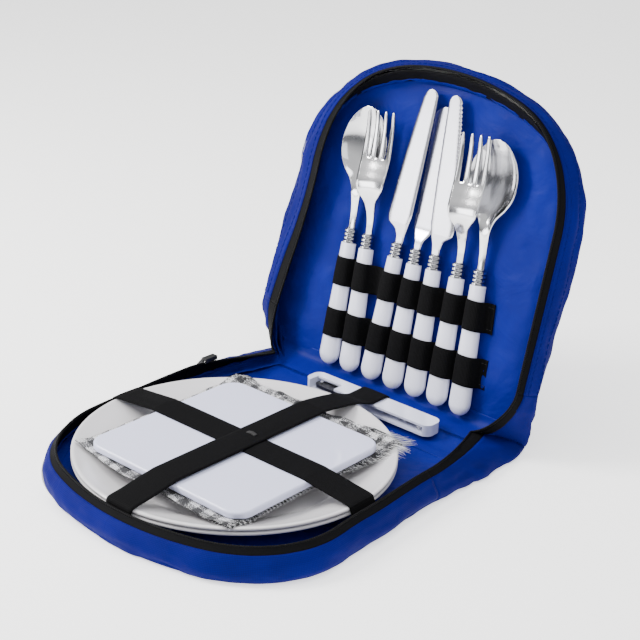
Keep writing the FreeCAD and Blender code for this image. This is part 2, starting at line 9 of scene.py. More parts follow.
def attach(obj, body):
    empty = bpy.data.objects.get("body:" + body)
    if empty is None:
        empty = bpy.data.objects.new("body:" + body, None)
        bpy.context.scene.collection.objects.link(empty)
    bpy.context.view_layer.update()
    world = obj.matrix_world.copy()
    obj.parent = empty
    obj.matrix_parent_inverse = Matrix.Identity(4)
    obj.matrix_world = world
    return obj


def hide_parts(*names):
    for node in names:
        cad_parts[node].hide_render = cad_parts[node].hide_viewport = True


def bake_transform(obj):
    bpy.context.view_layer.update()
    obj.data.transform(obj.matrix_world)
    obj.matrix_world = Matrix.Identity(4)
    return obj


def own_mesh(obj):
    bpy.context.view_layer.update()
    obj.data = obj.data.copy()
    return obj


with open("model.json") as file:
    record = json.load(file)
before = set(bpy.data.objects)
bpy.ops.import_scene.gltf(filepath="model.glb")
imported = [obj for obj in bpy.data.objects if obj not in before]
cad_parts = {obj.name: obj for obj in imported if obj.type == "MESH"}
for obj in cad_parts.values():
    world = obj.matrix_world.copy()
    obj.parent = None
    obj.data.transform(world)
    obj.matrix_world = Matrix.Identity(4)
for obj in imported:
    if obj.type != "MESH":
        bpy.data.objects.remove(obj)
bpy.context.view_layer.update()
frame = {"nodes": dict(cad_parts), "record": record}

MM = 0.001

# The set stands open: a base tray on the table and a lid tray that stands up behind it.
# Shapes are worked out in millimetres in the CAD frame and made in metres.
# A tray's flat frame has X along the fold, Y from the fold to the round end and Z to the inside.

JOINTS = {joint["name"]: joint for joint in frame["record"]["behaviour"]["joints"]}
BASE_FOLD = Vector(JOINTS["spine_fold"]["pos_m"]) / MM
LID_FOLD = Vector(JOINTS["lid_fold"]["pos_m"]) / MM
LID_TILT = math.radians(76.8)

# corner and arc are the radii of a tray's front corners and of its round end.
TRAYS = {
    "base": {"half": 113.0, "length": 225.0, "corner": 78.0, "arc": 180.0, "straight_end": 52.0,
             "zip": 18.6, "zip_inset": 8.0, "side": -1,
             "matrix": Matrix.Translation(BASE_FOLD) @ Matrix.Rotation(math.pi, 4, "Z")},
    "lid": {"half": 117.0, "length": 226.0, "corner": 82.0, "arc": 184.0, "straight_end": 34.0,
            "zip": 18.2, "zip_inset": 12.0, "side": 1,
            "matrix": Matrix.Translation(LID_FOLD) @ Matrix.Rotation(LID_TILT, 4, "X")},
}
LID = TRAYS["lid"]["matrix"]
LID_IN = (LID.to_3x3() @ Vector((0, 0, 1))).normalized()


# ======== camera and stage

def place_camera():
    """The photograph's view: a long lens from the right front, a little above."""
    azimuth, elevation, roll = (math.radians(angle) for angle in (39.83, 22.34, 2.89))
    data = bpy.data.cameras.new("camera")
    data.lens = 81.82
    data.sensor_width = 36
    data.clip_start = 0.01
    camera = bpy.data.objects.new("camera", data)
    camera.matrix_world = (Matrix.Translation((0.5517, -0.5860, 0.4366))
                           @ Matrix.Rotation(azimuth, 4, "Z")
                           @ Matrix.Rotation(math.pi / 2 - elevation, 4, "X")
                           @ Matrix.Rotation(roll, 4, "Z"))
    bpy.context.scene.collection.objects.link(camera)
    bpy.context.scene.camera = camera


def area_light(name, place, target, size, power, color=(1, 1, 1)):
    data = bpy.data.lights.new(name, "AREA")
    data.shape = "RECTANGLE"
    data.size, data.size_y = size
    data.energy = power
    data.color = color
    light = bpy.data.objects.new(name, data)
    light.location = place
    light.rotation_euler = (Vector(target) - Vector(place)).to_track_quat("-Z", "Y").to_euler()
    bpy.context.scene.collection.objects.link(light)


def light_stage():
    """White room: a bright overhead dome, dark towards the horizon so that steel has contrast."""
    world = bpy.data.worlds.new("studio")
    bpy.context.scene.world = world
    world.use_nodes = True
    tree = world.node_tree
    tree.nodes.clear()
    height = node(tree, "SeparateXYZ", Vector=node(tree, "TexCoord").outputs["Generated"])
    ramp = node(tree, "ValToRGB", Fac=height.outputs["Z"])
    horizon, dome = ramp.color_ramp.elements
    horizon.position = 0.02
    horizon.color = (0.13, 0.135, 0.15, 1)
    dome.position = 0.42
    back = node(tree, "Background", Color=ramp.outputs[0], Strength=0.9)
    node(tree, "OutputWorld", Surface=back.outputs[0])
    area_light("key", (-0.85, -0.55, 0.85), (0, 0.05, 0.08), (0.45, 0.45), 25, (1, 0.985, 0.96))
    area_light("fill", (0.85, -0.75, 0.8), (0, 0.05, 0.1), (0.8, 0.8), 2.5, (0.94, 0.97, 1))
    area_light("top", (0, 0.0, 1.2), (0, 0, 0), (0.9, 0.9), 10)
    area_light("card", (-0.72, -0.86, 0.25), (0, 0.15, 0.15), (0.42, 0.34), 3.2)

    bpy.ops.mesh.primitive_plane_add(size=6, location=(0, 0, -0.0004))
    floor = bpy.context.object
    floor.name = "floor"
    white = paint("floor_white", (0.97, 0.97, 0.97), 0.8, wear=0.01)
    adjust(white.node_tree, white.node_tree.nodes["Principled BSDF"],
           Emission_Color=(1, 1, 1, 1), Emission_Strength=1.1)
    floor.data.materials.append(white)


# ======== materials

def new_material(name):
    material = bpy.data.materials.new(name)
    material.use_nodes = True
    tree = material.node_tree
    return material, tree, tree.nodes["Principled BSDF"]


def put(tree, place, value):
    """Links an input to another node's output, or gives it a plain value."""
    if isinstance(value, bpy.types.NodeSocket):
        tree.links.new(value, place)
    else:
        place.default_value = value


def adjust(tree, made, **settings):
    """Sets a node's inputs and properties by name, with _ for each space in an input's name."""
    for key, value in settings.items():
        name = key.replace("_", " ")
        if name in made.inputs:
            put(tree, made.inputs[name], value)
        else:
            setattr(made, key, value)
    return made


def node(tree, kind, **settings):
    return adjust(tree, tree.nodes.new(f"ShaderNode{kind}"), **settings)


def clouds(tree, place, scale, detail, **settings):
    """Noise texture."""
    return node(tree, "TexNoise", Vector=place, Scale=scale, Detail=detail, **settings).outputs[0]


def waves(tree, place, scale, **settings):
    """Wave texture, in bands."""
    return node(tree, "TexWave", Vector=place, Scale=scale, **settings).outputs["Fac"]


def calculate(tree, operation, *values, clamp=False):
    """Result of a Math node on other nodes' outputs and plain numbers."""
    made = node(tree, "Math", operation=operation, use_clamp=clamp)
    for place, value in zip(made.inputs, values):
        put(tree, place, value)
    return made.outputs[0]


def spread(tree, value, low, high):
    """Stretches a texture's run from 0 to 1 to the run from low to high."""
    return node(tree, "MapRange", Value=value, To_Min=low, To_Max=high).outputs[0]


def object_place(tree):
    return node(tree, "TexCoord").outputs["Object"]


def cloth_place(tree):
    """Distances along and across the cloth, in metres, kept on the mesh."""
    return node(tree, "Attribute", attribute_name="flat").outputs["Vector"]


def mixed(tree, factor, first, second):
    """A colour between two, by a factor."""
    mix = node(tree, "Mix", data_type="RGBA")
    for place, value in ((0, factor), (6, (*first, 1)), (7, (*second, 1))):
        put(tree, mix.inputs[place], value)
    return mix.outputs[2]


def shaded(color, share):
    return tuple(c * share for c in color)


def add_bump(tree, shader, height, strength, distance, before=None):
    """Bumps in the shader's surface, on top of the bumps given as before."""
    bump = node(tree, "Bump", Height=height, Strength=strength, Distance=distance)
    if before:
        put(tree, bump.inputs["Normal"], before)
    put(tree, shader.inputs["Normal"], bump.outputs[0])
    return bump.outputs[0]


def paint(name, color, roughness, wear=0.03):
    """Plain coat with faint mottling."""
    material, tree, shader = new_material(name)
    spots = clouds(tree, object_place(tree), 60.0, 4.0)
    adjust(tree, shader, Base_Color=mixed(tree, spots, shaded(color, 1 - wear), color),
           Roughness=roughness)
    return material


def crossed_waves(tree, place, scale):
    """Over-and-under pattern of two thread directions."""
    threads = [waves(tree, place, scale, Distortion=0.4, Detail_Scale=3.0, bands_direction=way)
               for way in ("X", "Y")]
    return calculate(tree, "MULTIPLY", *threads)


def cloth(name, dark, light, weave, roughness, bump=0.35, soft=0.0):
    """Woven cloth: threads, slow fading over the surface and, where soft, small folds."""
    material, tree, shader = new_material(name)
    place = cloth_place(tree)
    threads = crossed_waves(tree, place, weave)
    fade = clouds(tree, place, 14.0, 3.0, Roughness=0.6)
    blend = calculate(tree, "MULTIPLY_ADD", threads, 0.45, fade, clamp=True)
    adjust(tree, shader, Base_Color=mixed(tree, blend, dark, light), Roughness=roughness,
           Specular_IOR_Level=0.07)
    fine = add_bump(tree, shader, threads, bump, 0.00025)
    if soft:
        folds = clouds(tree, place, 35.0, 3.0, Distortion=0.6)
        add_bump(tree, shader, folds, soft, 0.002, before=fine)
    return material


def elastic(name):
    """Black ribbed elastic: fine ribs across the band, slightly lighter on their crests as a
    painted highlight.
    """
    material, tree, shader = new_material(name)
    place = cloth_place(tree)
    ribs = waves(tree, place, 330.0, Distortion=0.3)
    both = calculate(tree, "MULTIPLY", ribs, clouds(tree, place, 900.0, 2.0))
    # Painted highlight: the colour lightens where the ribs rise, mottled by the fine noise.
    color = mixed(tree, both, (0.0012, 0.0012, 0.0015), (0.0085, 0.0085, 0.0095))
    adjust(tree, shader, Base_Color=color, Roughness=0.85, Specular_IOR_Level=0.08)
    add_bump(tree, shader, both, 0.5, 0.0003)
    return material


def plastic(name, color, roughness, coat=0.3, ripple=0.05):
    """Moulded glossy plastic: a faint flow pattern, fine scuffs and a clear skin."""
    material, tree, shader = new_material(name)
    place = object_place(tree)
    flow = clouds(tree, place, 22.0, 4.0)
    scuffs = clouds(tree, place, 260.0, 6.0, Roughness=0.7)
    adjust(tree, shader, Base_Color=mixed(tree, flow, shaded(color, 0.965), color),
           Roughness=spread(tree, scuffs, roughness * 0.85, roughness * 1.25),
           Coat_Weight=coat, Coat_Roughness=0.08)
    add_bump(tree, shader, flow, ripple, 0.0006)
    return material


def steel(name, color, roughness, brush=0.0):
    """Stainless steel, polished or brushed along the piece."""
    material, tree, shader = new_material(name)
    stretch = node(tree, "Mapping", Vector=object_place(tree), Scale=(900, 60, 25))
    grain = clouds(tree, stretch.outputs[0], 1.0, 5.0, Roughness=0.7)
    adjust(tree, shader, Base_Color=mixed(tree, grain, shaded(color, 0.93), color), Metallic=1.0,
           Roughness=spread(tree, grain, roughness * 0.8, roughness * 1.3))
    if brush:
        add_bump(tree, shader, grain, brush, 0.00008)
    return material


def check_cloth(name):
    """Napkin: black and white check, salt-and-pepper where a dark and a light band cross."""
    material, tree, shader = new_material(name)
    place = cloth_place(tree)
    bands = [calculate(tree, "GREATER_THAN", waves(tree, place, 24.0, bands_direction=way), 0.45)
             for way in ("X", "Y")]
    light = calculate(tree, "MULTIPLY_ADD", calculate(tree, "ADD", *bands), 0.14, 0.29)
    over = calculate(tree, "SUBTRACT", light, clouds(tree, place, 1500.0, 1.0))
    edge = node(tree, "MapRange", Value=over, From_Min=-0.06, From_Max=0.06).outputs[0]
    adjust(tree, shader, Base_Color=mixed(tree, edge, (0.012, 0.012, 0.015), (0.7, 0.7, 0.72)),
           Roughness=0.9, Sheen_Weight=0.1)
    add_bump(tree, shader, crossed_waves(tree, place, 420.0), 0.5, 0.0003)
    return material


MATERIALS = {
    "outer": cloth("royal_cloth", (0.0010, 0.0013, 0.036), (0.0036, 0.0045, 0.165), 330, 0.7,
                   soft=0.7),
    "lining": cloth("satin_lining", (0.0025, 0.0045, 0.095), (0.0065, 0.0125, 0.245), 520, 0.42,
                    bump=0.2, soft=0.9),
    "tape": cloth("tape_weave", (0.0008, 0.0008, 0.001), (0.0045, 0.0045, 0.0055), 420, 0.75),
    "coil": cloth("coil_nylon", (0.0008, 0.0008, 0.001), (0.006, 0.006, 0.007), 420, 0.5),
    "thread": paint("pale_thread", (0.07, 0.10, 0.62), 0.6),
    "white_thread": paint("white_thread", (0.86, 0.86, 0.87), 0.7),
    "black_thread": paint("black_thread", (0.006, 0.006, 0.007), 0.7),
    "band": elastic("ribbed_elastic"),
    "napkin": check_cloth("check_weave"),
    "plate": plastic("plate_melamine", (0.72, 0.705, 0.73), 0.22, coat=0.4),
    "board": plastic("board_plastic", (0.71, 0.73, 0.95), 0.3, ripple=0.12),
    "handle": plastic("handle_acrylic", (0.80, 0.81, 0.96), 0.14, coat=0.7),
    "screw": plastic("corkscrew_shell", (0.74, 0.76, 0.92), 0.2, coat=0.6),
    "stiffener": plastic("sheet_plastic", (0.55, 0.55, 0.53), 0.5, coat=0.0),
    "mirror": steel("mirror_steel", (0.72, 0.72, 0.74), 0.13),
    "satin": steel("satin_steel", (0.68, 0.68, 0.74), 0.24, brush=0.3),
    "chrome": steel("collar_chrome", (0.55, 0.55, 0.57), 0.14),
    "tool": steel("tool_steel", (0.42, 0.42, 0.44), 0.24, brush=0.1),
    "dark_tool": steel("dark_tool_steel", (0.05, 0.05, 0.055), 0.35),
    "slider": plastic("black_enamel", (0.003, 0.003, 0.004), 0.5, coat=0.0),
}


# ======== mesh helpers

def metres(place):
    return [c * MM for c in place]


def clean_mesh(points, faces, flat):
    """Smooth mesh of points in millimetres; flat gives each point's place on the flat cloth."""
    mesh = bpy.data.meshes.new("mesh")
    mesh.from_pydata([metres(point) for point in points], [], faces)
    layer = mesh.attributes.new("flat", "FLOAT_VECTOR", "POINT")
    layer.data.foreach_set("vector", [c * MM for place in flat for c in (*place, 0.0)])
    mesh.shade_smooth()
    mesh.update()
    return mesh


def place_piece(name, mesh, material, slot, body=None, nodes=(), thickness=0):
    """Adds the piece, gives it its thickness and finish and lets it ride on a body."""
    piece = bpy.data.objects.new(name, mesh)
    mesh.name = name
    mesh.materials.append(MATERIALS[material])
    bpy.context.scene.collection.objects.link(piece)
    if thickness:
        thicken(piece, thickness)
    if nodes:
        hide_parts(*nodes)
    if body:
        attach(piece, body)
    return piece


def lengths(points):
    """Running distance along a chain of points."""
    total = 0.0
    result = [0.0]
    for before, after in zip(points, points[1:]):
        total += (after - before).length
        result.append(total)
    return result


def flat_places(rows):
    """Distances along the middle row and across each column."""
    along = lengths(rows[len(rows) // 2])
    places = [[None] * len(rows[0]) for row in rows]
    for number, column in enumerate(zip(*rows)):
        for line, across in enumerate(lengths(column)):
            places[line][number] = (along[number], across)
    return [place for row in places for place in row]


def grid_mesh(rows):
    """Open sheet through rows of points."""
    return joined_mesh([rows], closed=False)


def spline(points, count):
    """Smooth chain of count points through a few given ones."""
    points = [Vector(point) for point in points]
    ends = [2 * points[0] - points[1]] + points + [2 * points[-1] - points[-2]]
    result = []
    for step in range(count):
        place = step / (count - 1) * (len(points) - 1)
        first = min(int(place), len(points) - 2)
        t = place - first
        a, b, c, d = ends[first:first + 4]
        result.append(0.5 * (2 * b + (c - a) * t + (2 * a - 5 * b + 4 * c - d) * t * t
                             + (3 * b - a - 3 * c + d) * t ** 3))
    return result


def even(points, step):
    """The same chain with equal steps."""
    total = lengths(points)
    count = max(int(total[-1] / step), 2)
    result = []
    index = 0
    for number in range(count + 1):
        want = total[-1] * number / count
        while index < len(points) - 2 and total[index + 1] < want:
            index += 1
        span = max(total[index + 1] - total[index], 1e-9)
        result.append(points[index].lerp(points[index + 1], min((want - total[index]) / span, 1)))
    return result


def table(pairs):
    """Function that reads a value between (place, value) pairs, with smooth turns."""
    steps = 12
    chain = spline([(value, 0) for place, value in pairs], steps * (len(pairs) - 1) + 1)
    places = [a + (b - a) * k / steps for (a, low), (b, high) in zip(pairs, pairs[1:])
              for k in range(steps)]
    places.append(pairs[-1][0])
    return straight_table([(place, point.x) for place, point in zip(places, chain)])


def straight_table(pairs):
    """Function that reads a value on straight runs between (place, value) pairs."""
    def read(where):
        for (a, low), (b, high) in zip(pairs, pairs[1:]):
            if where <= b:
                return low + (high - low) * max(where - a, 0) / (b - a)
        return pairs[-1][1]
    return read


def ease(value):
    value = min(max(value, 0.0), 1.0)
    return value * value * (3 - 2 * value)


def waver(seed, x, y):
    """Smooth repeatable noise from -1 to 1."""
    return noise.noise(Vector((x + 17.3 * seed, y - 9.1 * seed, 3.7 * seed)))


def normal_at(rows, line, number):
    """The sheet's normal at one of its points."""
    row = rows[line]
    down = rows[min(line + 1, len(rows) - 1)][number] - rows[max(line - 1, 0)][number]
    on = row[min(number + 1, len(row) - 1)] - row[max(number - 1, 0)]
    return on.cross(down).normalized()


def ruffled(rows, amount, wave_along, wave_across, seed, low=0.48):
    """Rows pushed along their normals by soft folds; no point goes below the height low."""
    places = flat_places(rows)
    width = len(rows[0])
    result = []
    for line, row in enumerate(rows):
        fresh = []
        for number, point in enumerate(row):
            along, across = places[line * width + number]
            fold = waver(seed, along / wave_along, across / wave_across)
            fine = waver(seed + 5, along / wave_along * 2.7, across / wave_across * 2.1)
            size = amount(line, number) if callable(amount) else amount
            moved = point + normal_at(rows, line, number) * size * (fold + 0.4 * fine)
            moved.z = max(moved.z, low)
            fresh.append(moved)
        result.append(fresh)
    return result


def tube_rows(points, radius, sides=8):
    """Rings round a chain of points; radius is a number or a function of the distance."""
    total = lengths(points)
    rows = []
    for number, point in enumerate(points):
        tangent = points[min(number + 1, len(points) - 1)] - points[max(number - 1, 0)]
        tangent.normalize()
        side = tangent.cross(Vector((0.3, 0.2, 0.93))).normalized()
        up = side.cross(tangent)
        reach = radius(total[number]) if callable(radius) else radius
        rows.append([point + reach * (c * side + s * up) for c, s in circle(sides)])
    return rows


def thicken(piece, amount):
    """Gives a sheet its thickness, half on each side, as a final mesh."""
    modifier = piece.modifiers.new("thickness", "SOLIDIFY")
    modifier.thickness = amount * MM
    modifier.offset = 0.0
    graph = bpy.context.evaluated_depsgraph_get()
    mesh = bpy.data.meshes.new_from_object(piece.evaluated_get(graph))
    piece.modifiers.clear()
    piece.data = mesh


def circle(count):
    """Cosine and sine of count even steps round a circle."""
    return [(math.cos(a), math.sin(a)) for a in (math.tau * k / count for k in range(count))]


def joined_mesh(parts, closed=True):
    """One mesh from many lofts, each given as rows of points. Closed lofts join the ends of
    each row and cap the first and last rows."""
    points = []
    faces = []
    flat = []
    for rows in parts:
        count = len(rows[0])
        first = range(len(points), len(points) + count)
        for line in range(len(rows) - 1):
            start = first[0] + line * count
            for k in range(count if closed else count - 1):
                after = (k + 1) % count
                faces.append((start + k, start + after, start + count + after, start + count + k))
        if closed:
            faces.append(tuple(reversed(first)))
            faces.append(tuple(k + (len(rows) - 1) * count for k in first))
        points += [point for row in rows for point in row]
        flat += flat_places(rows)
    return clean_mesh(points, faces, flat)


def stitches(chain, length, gap, radius):
    """Short thread dashes along a chain of points, each with its ends pulled in."""
    chain = even(chain, (length + gap) / 4)

    def swell(distance):
        return radius * (0.45 + 0.55 * ease(min(distance, abs(length - distance)) / (0.3 * length)))
    return [tube_rows(chain[start:start + 4], swell, 5) for start in range(0, len(chain) - 4, 4)]


# ======== the case

def outline(tray, inset, low=None):
    """The tray's outline in its flat frame, from its right side round the front to its left."""
    half = tray["half"] - inset
    length = tray["length"] - inset
    corner = tray["corner"] - inset
    arc = tray["arc"] - inset
    start = tray["straight_end"] if low is None else low
    turn = math.asin((half - corner) / (arc - corner))
    side = length - arc + (arc - corner) * math.cos(turn)
    right = [(half, start + (side - start) * k / 36) for k in range(36)]
    for k in range(34):
        angle = (math.pi / 2 - turn) * k / 34
        right.append((half - corner + corner * math.cos(angle), side + corner * math.sin(angle)))
    for k in range(32):
        angle = math.pi / 2 - turn + turn * k / 32
        right.append((arc * math.cos(angle), length - arc + arc * math.sin(angle)))
    return right + [(0.0, length)] + [(-x, y) for x, y in reversed(right)]


def placed(tray, x, y, height, inner=False):
    """A point of the soft case. The lid's mouth slumps to the right and opens at its top, where
    the inner layers hang lower, and the base's left front is pushed in."""
    if tray["side"] > 0:
        share = min(max(height / 17, -0.15), 1.1)
        inside = min(max(share, 0), 1)
        left = ease((-x - 20) / 70)
        near_fold = 1 - ease((y - 30) / 90)
        top = ease((y - 118) / 90)
        slump = left * ease((y - 6) / 90) * (1 - 0.45 * ease((y - 140) / 60))
        shift = share * (6.0 * ease((y + 4) / 20) + 8.0 * slump)
        shift += 6.0 * left * ease((y - 60) / 80)
        shift -= 5.5 * math.sin(math.pi * inside) * left * near_fold
        shift -= 3.6 * (1 - share) * ease((x - 60) / 50) * near_fold
        lift = 11.0 * share * abs(share) * top
        if inner:
            lift -= 8.5 * top * ease(height / 4) * (1 - 0.85 * inside)
        return tray["matrix"] @ Vector((x + shift, y * 0.988 + lift, height))
    push = 1.6 * ease((y - 60) / 60) + 4.6 * ease((y - 115) / 70)
    if x < 0:
        push += 1.6 * ease((y - 50) / 60) * ease((14 - height) / 10)
    else:
        push -= 1.5 * ease((110 - y) / 60)
    return tray["matrix"] @ Vector((-x - push, y, height))


def tray_rows(tray, profile, inner=False):
    """Rows of points round a tray, one for each (inset, height) of the profile."""
    return [[placed(tray, x, y, height, inner) for x, y in outline(tray, inset)]
            for inset, height in profile]


# Side profiles of a tray as (inset from the outline, height): the cloth wall, the zip's tape, the
# lining and the skirt, which is the tape's inner side.
PROFILES = {
    "base": {
        "cloth": [(9, -0.72), (2.6, -0.72), (1.2, 0.7), (-0.2, 4.2), (0.6, 8.4), (2.6, 11.8),
                  (5.0, 14.4)],
        "tape": [(5.0, 14.1), (6.0, 15.2), (7.1, 16.3), (8.0, 17.4)],
        "lining": [(9.0, 1.15), (4.0, 1.9), (3.6, 4.2), (4.4, 6.8), (5.4, 9.4)],
        "skirt": [(8.0, 16.9), (6.8, 14.4), (5.4, 11.0), (4.4, 7.5), (4.0, 5.5)],
    },
    "lid": {
        "cloth": [(9, -3.9), (0.5, -4.2), (-3.0, -2.2), (-2.6, 1.8), (-0.4, 6.0), (2.8, 9.6),
                  (7.4, 13.4)],
        "tape": [(7.4, 13.1), (9.0, 14.3), (10.6, 15.5), (12.0, 16.8)],
        "lining": [(9.5, 1.1), (5.0, 1.9), (5.0, 3.6), (5.7, 5.8), (6.6, 8.2)],
        "skirt": [(12.0, 16.2), (9.6, 13.4), (7.2, 10.0), (5.8, 6.8), (5.3, 4.8)],
    },
}
COUNTS = {"cloth": 19, "tape": 7, "lining": 12, "skirt": 7}

# The same profiles where both trays meet at the right end of the spine, in the world frame.
MIDDLE = {
    "cloth": [(84, 140, 2.0), (99, 151, 0.6), (109.0, 160, 0.7), (108.0, 158.0, 4.0),
              (104.0, 152.0, 7.5), (98.0, 144.5, 10.8), (92.6, 137.8, 13.4)],
    "tape": [(92.6, 137.8, 13.2), (91.0, 135.6, 13.9), (89.2, 133.0, 14.5), (87.0, 130.5, 14.7)],
    "lining": [(82, 136, 7.0), (88.5, 140.5, 7.4), (92.5, 142.0, 9.0), (92.0, 139.0, 11.4),
               (89.6, 135.4, 13.6)],
    "skirt": [(87.2, 131, 14.2), (89.8, 134.8, 13.7), (92.0, 138.6, 12.2), (93.0, 141.0, 10.2)],
    "coil": [(86.6, 130.2, 15.2)],
}

# Each layer's material, slot, thickness, depth of the folds at its corners and solid it replaces.
FINISH = {"cloth": ("outer", "outer_cloth", 0.8, 1.7, "side_wall"),
          "tape": ("tape", "zip_tape", 0.9, 0.25, "zip_tape"),
          "lining": ("lining", "lining_cloth", 0.35, 1.2, "lining"),
          "skirt": ("tape", "zip_tape", 0.3, 0.2, None)}


def wall_rows(name, part):
    """A wall's final rows, with the soft folds of its cloth."""
    tray = TRAYS[name]
    profile = spline(PROFILES[name][part], COUNTS[part])
    rows = tray_rows(tray, profile, part in ("lining", "skirt"))
    last = len(rows) - 1
    if part == "cloth":
        def fold(line, number):
            return 1.8 * math.sin(math.pi * line / last) ** 0.8 if line > 3 else 0.0
        return ruffled(rows, fold, 30, 6.0, 1 if name == "base" else 2)
    if part == "lining":
        def fold(line, number):
            return 0.9 * line / last
        rows = ruffled(rows, fold, 9, 7, 3 if name == "base" else 4)
        for number, point in enumerate(rows[-1]):
            short = 0.45 + 0.55 * waver(12, number / 4.3, 0.5) + 0.2 * waver(13, number / 1.6, 0.5)
            under = rows[-4][number]
            hem = point.lerp(under, min(max(short, 0.0), 0.95))
            for row, share in zip(rows[:-4:-1], (0, 0.33, 0.66)):
                row[number] = hem.lerp(under, share)
    return rows


def corner_rows(start, middle, lead, ways, count=28):
    """Rows that sweep from one tray's end to the spine.

    lead gives each row's way out of the tray; ways are the ways in for the first and last row."""
    rows = []
    last = max(len(start) - 1, 1)
    for number, (a, m, way) in enumerate(zip(start, middle, lead)):
        chord = (m - a).length
        leave = way.normalized() * chord * 0.9
        arrive = ways[0].lerp(ways[1], number / last).normalized() * chord * 0.8
        row = []
        for k in range(count):
            t = k / (count - 1)
            row.append((2 * t ** 3 - 3 * t * t + 1) * a + (t ** 3 - 2 * t * t + t) * leave
                       + (3 * t * t - 2 * t ** 3) * m + (t ** 3 - t * t) * arrive)
        rows.append(row)
    return rows


def corner_piece(name, rows, part, start, end, seed):
    """Cloth or coil that closes the corner between two bodies."""
    if part == "coil":
        piece = place_piece(name, coil_mesh(rows[0]), "coil", "zip_coil")
    else:
        material, slot, amount, reach, solid = FINISH[part]

        def fold(line, number):
            inside = math.sin(math.pi * number / (len(rows[0]) - 1)) ** 0.6
            body = math.sin(math.pi * line / (len(rows) - 1)) ** 0.5 if part == "cloth" else 1.0
            return reach * inside * body
        wrinkled = ruffled(rows, fold, 13 if part == "cloth" else 7, 10, seed)
        piece = place_piece(name, grid_mesh(wrinkled), material, slot, thickness=amount)
    metres(start)
    metres(end)
    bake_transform(piece)


def coil_mesh(chain, radius=0.95, pitch=1.45):
    """Zip coil: a line of round beads, one for each turn."""
    chain = even(chain, pitch / 4)

    def bead(distance):
        return radius * (0.62 + 0.38 * abs(math.cos(math.pi * distance / pitch)))
    return joined_mesh([tube_rows(chain, bead, 7)])


def build_walls():
    """Cloth walls, tapes, coils, seams and linings of both trays, and the corners between."""
    ends = {}
    for name, tray in TRAYS.items():
        body = f"{name}_tray"
        for part, (material, slot, amount, reach, solid) in FINISH.items():
            rows = wall_rows(name, part)
            ends[name, part] = rows
            place_piece(f"{name}_{part}_wall", grid_mesh(rows), material, slot, body,
                        (f"{name}_{solid}",) if solid else (), amount)
        coil = [placed(tray, x, y, tray["zip"] - 0.9)
                for x, y in outline(tray, tray["zip_inset"] + 0.5)]
        ends[name, "coil"] = [coil]
        place_piece(f"{name}_zip_coil", coil_mesh(coil), "coil", "zip_coil", body,
                    (f"{name}_zip_teeth",))
        rows = ends[name, "cloth"]
        pale = "thread" if name == "base" else "outer"
        dashes = []
        for line in (16, 11):
            dashes += stitches(raised(rows, line, 0.5), length=3.0, gap=1.5, radius=0.3)
        place_piece(f"{name}_stitching", joined_mesh(dashes), pale, "outer_cloth", body)
        for title, line, lift, radius, material in (("seam", 18, 0.35, 0.38, pale),
                                                    ("foot_seam", 5, 0.3, 0.5, "outer")):
            rings = tube_rows(even(raised(rows, line, lift), 3), radius, 6)
            place_piece(f"{name}_{title}", joined_mesh([rings]), material, "outer_cloth", body)
    build_corners(ends)


def raised(rows, line, amount):
    """A row of points lifted off the cloth by amount."""
    return [point + normal_at(rows, line, number) * amount
            for number, point in enumerate(rows[line])]


def build_corners(ends):
    """The four corner pieces of each layer and of the coil, two at each end of the spine."""
    for side, flip, index, inner in (("right", 1, 0, 1), ("left", -1, -1, -2)):
        flat_in = Vector((-0.35 * flip, 1, 0))
        down = Vector((-0.25 * flip, 0.05, -1))
        across = Vector((-1.0 * flip, -0.25, -0.25))
        for part, points in MIDDLE.items():
            if part in COUNTS:
                points = spline(points, COUNTS[part])
            middle = [Vector((flip * x, y, z)) for x, y, z in points]
            upper = (down, down.lerp(across, 0.7)) if part == "cloth" else (across, across)
            for stage, ways, start, end in (
                    ("base", (flat_in, flat_in), (0, 64, 8), (0, 128, 8)),
                    ("lid", upper, (0, 149, 43), (0, 145, 14))):
                name = f"{stage}_{side}_corner_{part}"
                rows = ends[stage, part]
                lead = [row[index] - row[inner] for row in rows]
                swept = corner_rows([row[index] for row in rows], middle, lead, ways)
                corner_piece(name, swept, part, start, end,
                             len(name) + index)


def fan_rows(rim, rings, lift):
    """Rings from a closed rim in to its middle; lift gives each point's extra height."""
    middle = sum(rim, Vector()) / len(rim)
    return [[lift(middle.lerp(point, share), share) for point in rim]
            for share in (math.cos(math.pi / 2 * k / rings) for k in range(rings))]


def closed_rim(tray, inset, height, back):
    """A tray's outline at one height, closed along its back edge with round corners."""
    half = tray["half"] - inset
    bend = 24
    right = outline(tray, inset, back + bend)
    corner = [(half - bend * (1 - math.cos(a)), back + bend * (1 - math.sin(a)))
              for a in (math.pi / 2 * k / 10 for k in range(1, 11))]
    line = [((half - bend) * (k / 20 - 1), back) for k in range(1, 40)]
    loop = right + [(-x, y) for x, y in corner] + line + corner[::-1]
    return [Vector((x, y, height)) for x, y in loop]


